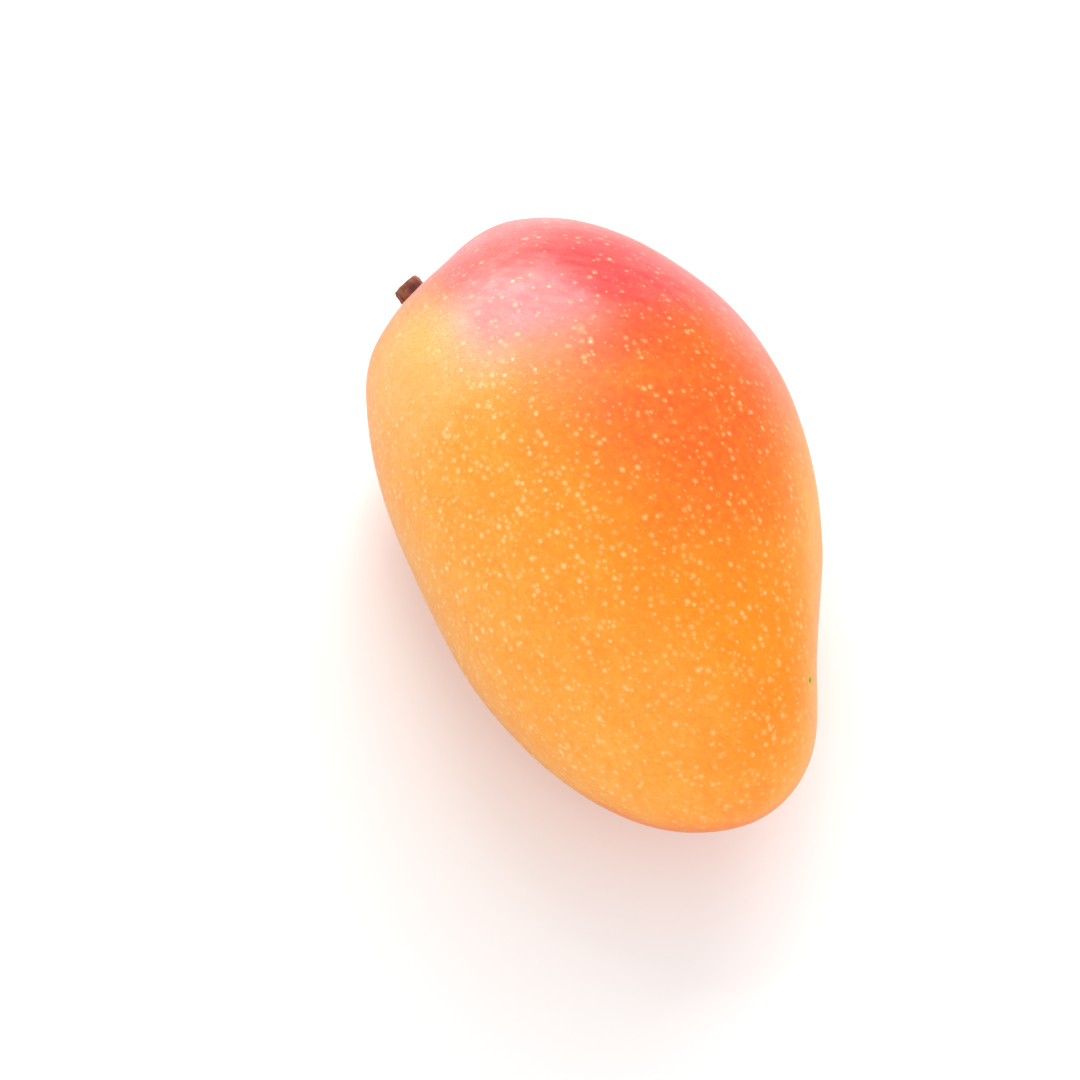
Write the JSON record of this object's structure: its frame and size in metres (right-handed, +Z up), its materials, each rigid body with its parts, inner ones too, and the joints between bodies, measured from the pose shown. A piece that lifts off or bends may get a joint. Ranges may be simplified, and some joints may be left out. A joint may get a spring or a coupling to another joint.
{
  "type": "mango",
  "caption": "Ripe whole mango lying on its cheek: a flattened, lopsided oval fruit with a blushed speckled skin and the short cut stub of its stalk.",
  "frame": {"origin": "middle of the small flat spot that the fruit rests on, straight below its centre of mass", "axes": "+Z up through the two cheeks, +Y along the fruit to its stalk end, +X across it to the edge that carries the beak"},
  "size_m": [0.0776, 0.1249, 0.0679],
  "materials": {
    "skin": "smooth waxy fruit skin, satin sheen, orange with a red-pink blush and small pale yellow dots",
    "stub_bark": "dry reddish-brown bark, rough and matt, with a paler cut end"
  },
  "bodies": {
    "root": {"fruit": "skin", "stem_stub": "stub_bark"}
  },
  "joints": []
}
